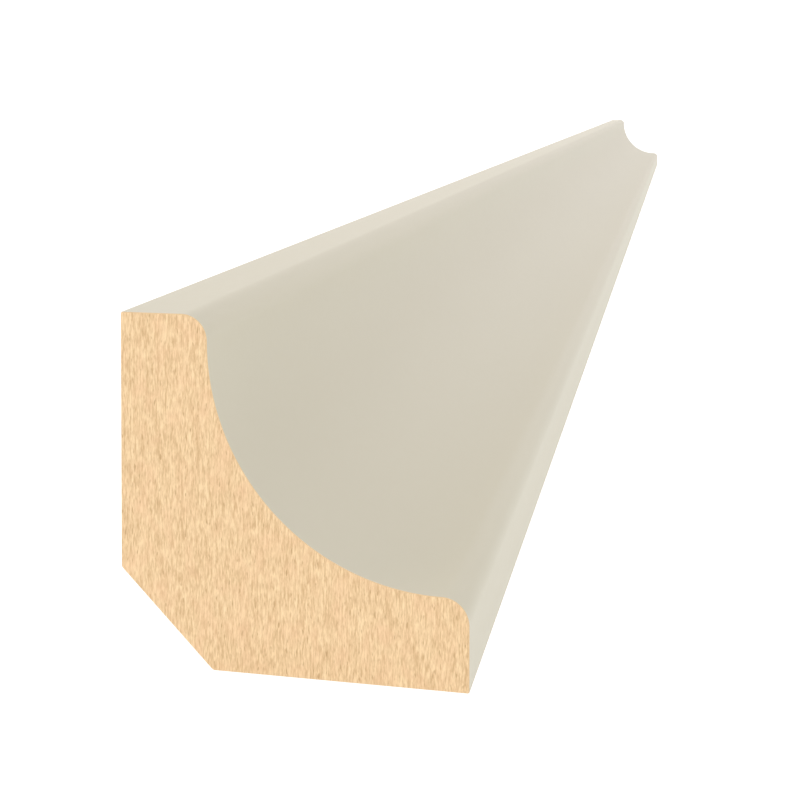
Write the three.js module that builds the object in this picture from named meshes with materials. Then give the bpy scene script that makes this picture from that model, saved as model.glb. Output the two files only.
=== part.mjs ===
// A cove skirting moulding for the corner between a floor and a wall: a machined
// fibreboard core with a thin cream facing wrapped over its two lips and its cove.
// Millimetres, +Z up. X runs along the moulding, +Y is the wall side and -Y the room
// side. The origin is under the middle of the moulding, on the floor.
import * as THREE from "three";

// The run of moulding between its two square cuts
const length = 600;

// The section, measured over the facing
const depth = 22; // wall face to the front of the lower lip
const height = 22; // floor face to the top of the upper lip
const upperLip = 5.65; // thickness at the top, from the wall face to the cove
const lowerLip = 5.65; // thickness at the front, from the floor face to the cove
const noseRadius = 1.65; // rounding that leads from each lip into the cove
const heelChamfer = 6; // 45 degree cut that clears the corner of floor and wall

// The decorative foil glued over the faces that show
const facingThickness = 0.06;
const facingStop = 0.05; // trimmed this far short of the floor face and the wall face

// Flats along each quarter turn
const noseSteps = 16;
const coveSteps = 72;

const wallSide = depth / 2;
const roomSide = -depth / 2;
const quarterTurn = Math.PI / 2;

// A quarter of a circle or ellipse in the section plane, first and last points included.
function quarterArc(centre, radiusAcross, radiusUp, startAngle, turn, steps) {
  const points = [];
  for (let step = 0; step <= steps; step += 1) {
    const angle = startAngle + (turn * quarterTurn * step) / steps;
    points.push(
      new THREE.Vector2(
        centre.x + radiusAcross * Math.cos(angle),
        centre.y + radiusUp * Math.sin(angle),
      ),
    );
  }
  return points;
}

// The line of the faces that show, from the floor up the front, round the lower nose,
// through the cove and round the upper nose to the wall. Its points are (y, z) of the
// section. The inset moves the line into the material, square to each face, and the
// stop ends it short of the floor face and the wall face.
function shownLine(inset, stop) {
  const nose = noseRadius - inset;
  const lowerCentre = new THREE.Vector2(roomSide + noseRadius, lowerLip - noseRadius);
  const upperCentre = new THREE.Vector2(wallSide - upperLip + noseRadius, height - noseRadius);
  const coveCentre = new THREE.Vector2(lowerCentre.x, upperCentre.y);
  const coveAcross = wallSide - upperLip - coveCentre.x + inset;
  const coveDown = coveCentre.y - lowerLip + inset;
  return [
    new THREE.Vector2(roomSide + inset, stop),
    ...quarterArc(lowerCentre, nose, nose, Math.PI, -1, noseSteps),
    ...quarterArc(coveCentre, coveAcross, coveDown, -quarterTurn, 1, coveSteps).slice(1),
    ...quarterArc(upperCentre, nose, nose, Math.PI, -1, noseSteps).slice(1),
    new THREE.Vector2(wallSide - stop, height - inset),
  ];
}

// The core lies inside the facing, and has the plain wall face, heel and floor face.
function coreSection() {
  return new THREE.Shape([
    ...shownLine(facingThickness, 0),
    new THREE.Vector2(wallSide, heelChamfer),
    new THREE.Vector2(wallSide - heelChamfer, 0),
  ]);
}

// The facing lies on the core and has the same line on both sides.
function facingSection() {
  return new THREE.Shape([
    ...shownLine(0, facingStop),
    ...shownLine(facingThickness, facingStop).reverse(),
  ]);
}

const fibreboard = new THREE.MeshStandardMaterial({
  name: "fibreboard",
  color: 0xeac99c,
  roughness: 0.85,
  metalness: 0,
});

const creamFoil = new THREE.MeshStandardMaterial({
  name: "cream_foil",
  color: 0xd6ceb7,
  roughness: 0.4,
  metalness: 0,
});

// One length of a section, centred on the group's own middle.
function run(name, section, material) {
  const geometry = new THREE.ExtrudeGeometry(section, {
    depth: length,
    steps: 1,
    bevelEnabled: false,
  });
  const mesh = new THREE.Mesh(geometry, material);
  mesh.name = name;
  mesh.position.z = -length / 2;
  return mesh;
}

// Sections are drawn in x and y and run along z. The turn lays that z along the
// moulding's X, with the section's x across the floor and its y upwards.
const moulding = new THREE.Group();
moulding.rotation.set(quarterTurn, 0, quarterTurn, "ZYX");
moulding.add(
  run("fibreboard_core", coreSection(), fibreboard),
  run("cream_facing", facingSection(), creamFoil),
);

const skirting = new THREE.Group();
skirting.name = "cove_skirting";
skirting.add(moulding);

export default skirting;
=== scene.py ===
import math

import bmesh
import bpy
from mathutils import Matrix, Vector


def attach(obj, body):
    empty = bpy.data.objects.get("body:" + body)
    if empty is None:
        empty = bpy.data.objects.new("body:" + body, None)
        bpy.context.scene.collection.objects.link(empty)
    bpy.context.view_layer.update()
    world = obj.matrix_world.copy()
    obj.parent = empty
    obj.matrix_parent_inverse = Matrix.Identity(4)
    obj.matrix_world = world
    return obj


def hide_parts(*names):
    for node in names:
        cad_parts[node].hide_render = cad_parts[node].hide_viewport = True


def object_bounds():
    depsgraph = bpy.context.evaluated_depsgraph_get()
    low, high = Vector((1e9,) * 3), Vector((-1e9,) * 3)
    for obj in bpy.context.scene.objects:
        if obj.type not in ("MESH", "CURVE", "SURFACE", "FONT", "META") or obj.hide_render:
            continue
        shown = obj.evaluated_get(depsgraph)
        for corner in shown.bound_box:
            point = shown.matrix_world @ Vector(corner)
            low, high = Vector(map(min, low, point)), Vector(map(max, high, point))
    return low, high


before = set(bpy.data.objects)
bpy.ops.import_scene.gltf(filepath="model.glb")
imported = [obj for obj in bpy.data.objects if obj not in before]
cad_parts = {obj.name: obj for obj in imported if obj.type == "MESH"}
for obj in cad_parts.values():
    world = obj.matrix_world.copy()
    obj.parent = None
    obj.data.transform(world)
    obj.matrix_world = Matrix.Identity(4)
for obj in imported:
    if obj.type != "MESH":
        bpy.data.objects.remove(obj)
cadLow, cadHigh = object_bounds()

mm = 0.001

# the outside of the moulding, taken from the frame
wallSide, roomSide = cadHigh.y, cadLow.y
topSide, floorSide = cadHigh.z, cadLow.z
nearEnd, farEnd = cadLow.x, cadHigh.x
runLength = farEnd - nearEnd


def addObject(name, data):
    item = bpy.data.objects.new(name, data)
    bpy.context.scene.collection.objects.link(item)
    return item


# Camera

camera = {
    "place": (-0.37832, -0.02324, 0.03566),
    "turn": 11.862,  # degrees from +X towards +Y
    "dip": 1.169,  # degrees below level
    "lens": 60.586,
    "shiftY": -0.35,
    "clip": (0.005, 60),
}


def makeCamera():
    turn, dip = math.radians(camera["turn"]), math.radians(camera["dip"])
    level = math.cos(dip)
    ahead = Vector((math.cos(turn) * level, math.sin(turn) * level, -math.sin(dip)))
    data = bpy.data.cameras.new("photoCamera")
    data.lens = camera["lens"]
    data.shift_y = camera["shiftY"]
    data.sensor_fit = "HORIZONTAL"
    data.clip_start, data.clip_end = camera["clip"]
    item = addObject("photoCamera", data)
    item.location = camera["place"]
    item.rotation_euler = ahead.to_track_quat("-Z", "Y").to_euler()
    bpy.context.scene.camera = item


makeCamera()
print("camera in place")


# Shader maths

# wraps a socket, so that maths on it is written as Python
class Value:
    def __init__(self, tree, socket):
        self.tree = tree
        self.socket = socket

    def maths(self, operation, first, second):
        node = self.tree.nodes.new("ShaderNodeMath")
        node.operation = operation
        plug(self.tree, node.inputs[0], first)
        plug(self.tree, node.inputs[1], second)
        return Value(self.tree, node.outputs[0])

    def __add__(self, other):
        return self.maths("ADD", self, other)

    def __radd__(self, other):
        return self.maths("ADD", other, self)

    def __sub__(self, other):
        return self.maths("SUBTRACT", self, other)

    def __rsub__(self, other):
        return self.maths("SUBTRACT", other, self)

    def __mul__(self, other):
        return self.maths("MULTIPLY", self, other)

    def __rmul__(self, other):
        return self.maths("MULTIPLY", other, self)


def plug(tree, socket, value):
    if isinstance(value, Value):
        tree.links.new(value.socket, socket)
    else:
        socket.default_value = value


class Nodes:
    def __init__(self, tree):
        self.tree = tree
        tree.nodes.clear()

    # a node of a type: its settings are set first, then the values or links of its sockets
    def add(self, kind, settings=None, sockets=None, give=0):
        node = self.tree.nodes.new("ShaderNode" + kind)
        for name, value in (settings or {}).items():
            if name == "stops":
                setStops(node.color_ramp, value)
            else:
                setattr(node, name, value)
        for name, value in (sockets or {}).items():
            plug(self.tree, node.inputs[name], value)
        return Value(self.tree, node.outputs[give]) if len(node.outputs) else None

    # the piece's own coordinates in millimetres, stretched, and moved so that patterns differ
    def place(self, stretch=(1, 1, 1), move=(0, 0, 0)):
        coordinates = self.add("TexCoord", give="Object")
        scale = tuple(part / mm for part in stretch)
        return self.add("Mapping", sockets={
            "Vector": coordinates,
            "Scale": scale,
            "Location": move,
        })

    def noise(self, stretch, detail, rough=0.5, move=(0, 0, 0)):
        return self.add("TexNoise", sockets={
            "Vector": self.place(stretch, move),
            "Scale": 1.0,
            "Detail": detail,
            "Roughness": rough,
        }, give="Fac")

    def blend(self, share, first, second, mode="MIX"):
        return self.add("Mix", {"data_type": "RGBA", "blend_type": mode}, {
            0: share, 6: first, 7: second,
        }, give=2)

    # 0 up to the first of two limits, and the top from the second on
    def between(self, value, limits, top=1.0, curve="SMOOTHSTEP"):
        return self.add("MapRange", {"interpolation_type": curve}, {
            "Value": value, "From Min": limits[0], "From Max": limits[1], "To Max": top,
        })

    def bump(self, relief):
        return self.add("Bump", sockets={"Height": relief, "Distance": 1.0, "Strength": 1.0})

    def surface(self, sockets):
        shader = self.add("BsdfPrincipled", sockets=sockets)
        self.add("OutputMaterial", sockets={"Surface": shader})


def setStops(ramp, stops):
    while len(ramp.elements) < len(stops):
        ramp.elements.new(1.0)
    for element, (place, colour) in zip(ramp.elements, stops):
        element.position = place
        element.color = colour


# a colour as a screen shows it, 0 to 255, made linear
def screen(colour):
    def linear(part):
        share = part / 255
        return share / 12.92 if share <= 0.04045 else ((share + 0.055) / 1.055) ** 2.4
    return tuple(linear(part) for part in colour) + (1.0,)


def grey(share):
    return (share, share, share, 1)


def newMaterial(name):
    material = bpy.data.materials.new(name)
    material.use_nodes = True
    return material, Nodes(material.node_tree)


# Finishes
# A grain is given as its changes per millimetre along X, Y and Z.

foilFinish = {
    "light": (216, 209, 186),
    "deep": (213, 206, 183),
    "clouds": (0.03, 0.12, 0.12),  # drift from the light to the deep cream
    "roughness": 0.4,
    "specular": 0.5,
    "peel": (1.1, 1.6, 1.6),
    "peelHeight": 0.002 * mm,
    "peelRoughness": 0.08,  # how far the peel moves the roughness
    "drawn": (0.02, 2.4, 2.4),  # long faint lines, from drawing the foil over the board
    "drawnHeight": 0.001 * mm,
}


def creamFoil():
    material, nodes = newMaterial("cream_foil")
    peel = nodes.noise(foilFinish["peel"], detail=3)
    drawn = nodes.noise(foilFinish["drawn"], detail=2, move=(3, 0, 0))
    clouds = nodes.noise(foilFinish["clouds"], detail=2, move=(9, 4, 1))
    relief = peel * foilFinish["peelHeight"] + drawn * foilFinish["drawnHeight"]
    nodes.surface({
        "Base Color": nodes.blend(clouds, screen(foilFinish["light"]), screen(foilFinish["deep"])),
        "Roughness": foilFinish["roughness"] + (peel - 0.5) * foilFinish["peelRoughness"],
        "Specular IOR Level": foilFinish["specular"],
        "Normal": nodes.bump(relief),
    })
    return material


# the edge of the foil, where it is trimmed: seen end on, it is as brown as the board
cutFinish = {
    "paper": (235, 203, 161),
    "glue": (224, 192, 149),
    "grain": (2, 6, 6),
    "roughness": 0.8,
    "specular": 0.2,
}


def cutFoil():
    material, nodes = newMaterial("cut_foil_edge")
    grain = nodes.noise(cutFinish["grain"], detail=1)
    nodes.surface({
        "Base Color": nodes.blend(grain, screen(cutFinish["paper"]), screen(cutFinish["glue"])),
        "Roughness": cutFinish["roughness"],
        "Specular IOR Level": cutFinish["specular"],
    })
    return material


# fibreboard: its fibre bundles lie flat in the panel, so the grain is thin across Y
boardFinish = {
    "dark": (215, 180, 136),
    "middle": (234, 201, 157),
    "light": (250, 220, 176),
    "toneLimits": (0.3, 0.5, 0.7),  # where the streaks reach dark, middle and light
    "bundles": (0.9, 5.8, 0.95),
    "bundlesShare": 0.85,  # how much each grain counts in the streaks
    "fibres": (1.5, 9.5, 1.9),
    "fibresShare": 0.9,
    "drift": (0.3, 1.9, 0.4),
    "driftShare": 0.36,
    "pink": (244, 201, 161),
    "blotches": (0.6, 0.8, 0.55),
    "blotchLimits": (0.45, 0.75),
    "pinkShare": 0.35,
    "pore": (192, 156, 112),
    "pores": (1.3, 6.0, 1.5),
    "poreLimits": (0.64, 0.76),
    "rippleEvery": 1.4 * mm,  # marks of the moulder's knives along the planed faces
    "specular": 0.2,
}

sawnFinish = {
    "shade": 1.0,
    "contrast": 0.97,
    "poreShare": 0.72,
    "roughness": 0.9,
    "fuzzHeight": 0.012 * mm,
    "rippleHeight": 0.0,
}

planedFinish = {
    "shade": 0.78,  # partly the pressed skin of the panel, darker than its heart, and partly painted shade that offsets the strong light on the wall side
    "contrast": 0.75,
    "poreShare": 0.5,
    "roughness": 0.75,
    "fuzzHeight": 0.006 * mm,
    "rippleHeight": 0.0015 * mm,
}

waveLength = 0.314  # of the wave texture, where its scale is 1


def bareBoard(name, finish):
    material, nodes = newMaterial(name)
    bundles = nodes.noise(boardFinish["bundles"], detail=3, rough=0.65)
    fibres = nodes.noise(boardFinish["fibres"], detail=2, rough=0.6, move=(5, 2, 7))
    drift = nodes.noise(boardFinish["drift"], detail=2, move=(1, 6, 9))
    grain = (
        (bundles - 0.5) * boardFinish["bundlesShare"]
        + (fibres - 0.5) * boardFinish["fibresShare"]
        + (drift - 0.5) * boardFinish["driftShare"]
    )
    streaks = grain * finish["contrast"] + 0.5
    tones = [screen(boardFinish[tone]) for tone in ("dark", "middle", "light")]
    stops = list(zip(boardFinish["toneLimits"], tones))
    tone = nodes.add("ValToRGB", {"stops": stops}, {"Fac": streaks})

    blotches = nodes.noise(boardFinish["blotches"], detail=1, move=(2, 8, 3))
    warm = nodes.between(
        blotches, boardFinish["blotchLimits"], top=boardFinish["pinkShare"], curve="LINEAR",
    )
    tone = nodes.blend(warm, tone, screen(boardFinish["pink"]))

    openings = nodes.noise(boardFinish["pores"], detail=1, move=(8, 1, 4))
    pores = nodes.between(openings, boardFinish["poreLimits"], top=finish["poreShare"])
    tone = nodes.blend(pores, tone, screen(boardFinish["pore"]))
    # darkens the tone by the finish's shade: on the planed faces this is partly the panel's darker
    # skin and partly painted shade against the strong wall-side light
    tone = nodes.blend(1.0, tone, grey(finish["shade"]), mode="MULTIPLY")

    waves = {"wave_type": "BANDS", "bands_direction": "X", "wave_profile": "SIN"}
    ripple = nodes.add("TexWave", waves, {
        "Vector": nodes.place(),
        "Scale": waveLength * mm / boardFinish["rippleEvery"],
    }, give="Fac")
    relief = (streaks - pores) * finish["fuzzHeight"] + ripple * finish["rippleHeight"]
    nodes.surface({
        "Base Color": tone,
        "Roughness": finish["roughness"],
        "Specular IOR Level": boardFinish["specular"],
        "Normal": nodes.bump(relief),
    })
    return material


# Pieces

section = {
    "upperLip": 5.65 * mm,
    "lowerLip": 5.65 * mm,
    "noseRadius": 1.65 * mm,
    "noseSteps": 20,
    "coveSteps": 90,
    "hold": 0.15 * mm,  # from the end of a flat to the point that keeps its shading even
    "crispFrom": 30,  # degrees between two faces
}


# draws a wire in the plane of the near end, stroke after stroke
class Pen:
    def __init__(self, bm, y, z):
        self.bm = bm
        self.tip = bm.verts.new((nearEnd, y, z))

    def lineTo(self, y, z):
        made = bmesh.ops.extrude_vert_indiv(self.bm, verts=[self.tip])
        self.tip = made["verts"][0]
        self.tip.co = (nearEnd, y, z)

    # a straight stroke with a point close to each end
    def flatTo(self, y, z):
        start, end = self.tip.co.yz, Vector((y, z))
        step = (end - start).normalized() * section["hold"]
        self.lineTo(*(start + step))
        self.lineTo(*(end - step))
        self.lineTo(*end)

    def turnAbout(self, centre, degrees, steps):
        made = bmesh.ops.spin(
            self.bm, geom=[self.tip], cent=(nearEnd, *centre), axis=(1, 0, 0),
            angle=math.radians(degrees), steps=steps,
        )
        self.tip = vertsOf(made["geom_last"])[0]


def vertsOf(geometry):
    return [item for item in geometry if isinstance(item, bmesh.types.BMVert)]


# the faces that show, from the floor up the front, through the cove and over the top to the
# wall. The inset moves them into the board, and the stop ends them short of wall and floor.
def drawShownFaces(bm, inset, stop):
    nose = section["noseRadius"]
    lowNose = (roomSide + nose, floorSide + section["lowerLip"] - nose)
    highNose = (wallSide - section["upperLip"] + nose, topSide - nose)
    pen = Pen(bm, roomSide + inset, floorSide + stop)
    pen.flatTo(roomSide + inset, lowNose[1])
    pen.turnAbout(lowNose, -90, section["noseSteps"])
    pen.turnAbout((lowNose[0], highNose[1]), 90, section["coveSteps"])
    pen.turnAbout(highNose, -90, section["noseSteps"])
    pen.flatTo(wallSide - stop, topSide - inset)
    return pen


# moves what an extrusion made from the near end to the far end
def drawToFarEnd(bm, made):
    bmesh.ops.translate(bm, vec=(runLength, 0, 0), verts=vertsOf(made["geom"]))


def addMesh(name, bm, materials):
    mesh = bpy.data.meshes.new(name)
    bm.to_mesh(mesh)
    bm.free()
    for material in materials:
        mesh.materials.append(material)
    return addObject(name, mesh)


def finishPiece(name, bm, materials, node):
    crispFrom = math.radians(section["crispFrom"])
    for face in bm.faces:
        face.smooth = True
    for edge in bm.edges:
        edge.smooth = edge.is_manifold and edge.calc_face_angle() < crispFrom
    piece = addMesh(name, bm, materials)
    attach(piece, "root")
    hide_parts(node)


facing = {
    "thickness": 0.06 * mm,
    "stop": 0.05 * mm,  # how far short of the floor and the wall it is trimmed
}


# the faces all round the facing's edge are no wider than the foil is thick
def isTrimmed(face):
    return min(edge.calc_length() for edge in face.edges) < facing["thickness"] * 1.1


def makeFacing():
    bm = bmesh.new()
    drawShownFaces(bm, 0, facing["stop"])
    drawToFarEnd(bm, bmesh.ops.extrude_edge_only(bm, edges=bm.edges[:]))
    bmesh.ops.recalc_face_normals(bm, faces=bm.faces)
    front = min(bm.faces, key=lambda face: face.calc_center_median().y)
    if front.normal.y > 0:  # it has to look into the room, with the foil's thickness behind it
        bmesh.ops.reverse_faces(bm, faces=bm.faces)
    bmesh.ops.solidify(bm, geom=bm.faces[:], thickness=facing["thickness"])
    for face in bm.faces:
        face.material_index = 1 if isTrimmed(face) else 0
    finishes = [creamFoil(), cutFoil()]
    finishPiece("foil_facing", bm, finishes, "cream_facing")


core = {
    "heelChamfer": 6 * mm,
    "arris": 0.1 * mm,  # the heel's two edges, taken off with paper
    "arrisSteps": 3,
    "weld": 0.001 * mm,
}


def heelEdges(bm):
    heel = core["heelChamfer"]
    corners = [Vector((wallSide, floorSide + heel)), Vector((wallSide - heel, floorSide))]

    def atCorner(vert):
        return any((vert.co.yz - corner).length < core["arris"] / 2 for corner in corners)

    return [
        edge for edge in bm.edges
        if edge.calc_length() > runLength / 2 and atCorner(edge.verts[0])
    ]


def makeCore():
    bm = bmesh.new()
    foil = facing["thickness"]
    pen = drawShownFaces(bm, foil, 0)
    pen.lineTo(wallSide, floorSide + core["heelChamfer"])
    pen.lineTo(wallSide - core["heelChamfer"], floorSide)
    pen.lineTo(roomSide + foil, floorSide)
    bmesh.ops.remove_doubles(bm, verts=bm.verts, dist=core["weld"])
    bmesh.ops.contextual_create(bm, geom=bm.edges[:])
    drawToFarEnd(bm, bmesh.ops.extrude_face_region(bm, geom=bm.faces[:]))
    bmesh.ops.bevel(
        bm, geom=heelEdges(bm), offset=core["arris"], segments=core["arrisSteps"],
        affect="EDGES", profile=0.5, material=-1,
    )
    bmesh.ops.recalc_face_normals(bm, faces=bm.faces)
    for face in bm.faces:
        isEnd = abs(face.normal.x) > 0.5
        face.material_index = 0 if isEnd else 1
    finishes = [
        bareBoard("sawn_fibreboard", sawnFinish),
        bareBoard("planed_fibreboard", planedFinish),
    ]
    finishPiece("fibreboard_moulding", bm, finishes, "fibreboard_core")


makeCore()
makeFacing()
print("moulding and facing made")


# Studio

studio = {
    "floorSize": 20,
    "floorColour": (150, 150, 150),
    "floorRoughness": 0.9,
    "floorGlow": 0.93,
    "horizon": 1.0,
    "horizonLimits": (0.08, 0.2),  # how steeply a direction rises where the white horizon ends
    # how bright the sky is from the room side, -1, over the top, 0, to the wall side, 1
    "sky": [
        (-0.85, 0.0), (-0.6, 0.69), (-0.3, 1.17), (0.0, 0.98),
        (0.3, 0.86), (0.6, 0.75), (0.85, 1.97), (1.0, 1.91),
    ],
    "farGlow": (0.27, 0.22, 0.215),  # warm light from beyond the far end
    "farLimits": (0.3, 1.0),  # how squarely a direction looks along the run
    "brightness": 2.0,
}


def makeFloor():
    bm = bmesh.new()
    bmesh.ops.create_grid(bm, x_segments=1, y_segments=1, size=studio["floorSize"])
    material, nodes = newMaterial("white_floor")
    nodes.surface({
        "Base Color": screen(studio["floorColour"]),
        "Roughness": studio["floorRoughness"],
        "Specular IOR Level": 0.0,
        "Emission Color": grey(1),
        "Emission Strength": studio["floorGlow"],
    })
    floor = addMesh("floor", bm, [material])


# a light's colour, from 0 to 1, that the background's strength brings up again
def dimmed(colour):
    return tuple(part / studio["brightness"] for part in colour[:3]) + (1,)


def makeWorld():
    world = bpy.data.worlds.new("studio")
    world.use_nodes = True
    nodes = Nodes(world.node_tree)
    direction = nodes.add("TexCoord", give="Generated")
    along, lean, rise = (
        nodes.add("SeparateXYZ", sockets={"Vector": direction}, give=axis) for axis in "XYZ"
    )
    stops = [(place * 0.5 + 0.5, dimmed(grey(light))) for place, light in studio["sky"]]
    sky = nodes.add("ValToRGB", {"stops": stops}, {"Fac": lean * 0.5 + 0.5})
    above = nodes.between(rise, studio["horizonLimits"])
    light = nodes.blend(above, dimmed(grey(studio["horizon"])), sky)
    far = nodes.between(along, studio["farLimits"])
    glow = nodes.blend(far, grey(0), dimmed(studio["farGlow"]))
    light = nodes.blend(1.0, light, glow, mode="ADD")
    background = nodes.add("Background", sockets={
        "Color": light,
        "Strength": studio["brightness"],
    })
    nodes.add("OutputWorld", sockets={"Surface": background})
    bpy.context.scene.world = world


makeFloor()
makeWorld()
bpy.context.scene.view_settings.view_transform = "Standard"
print("studio lit")
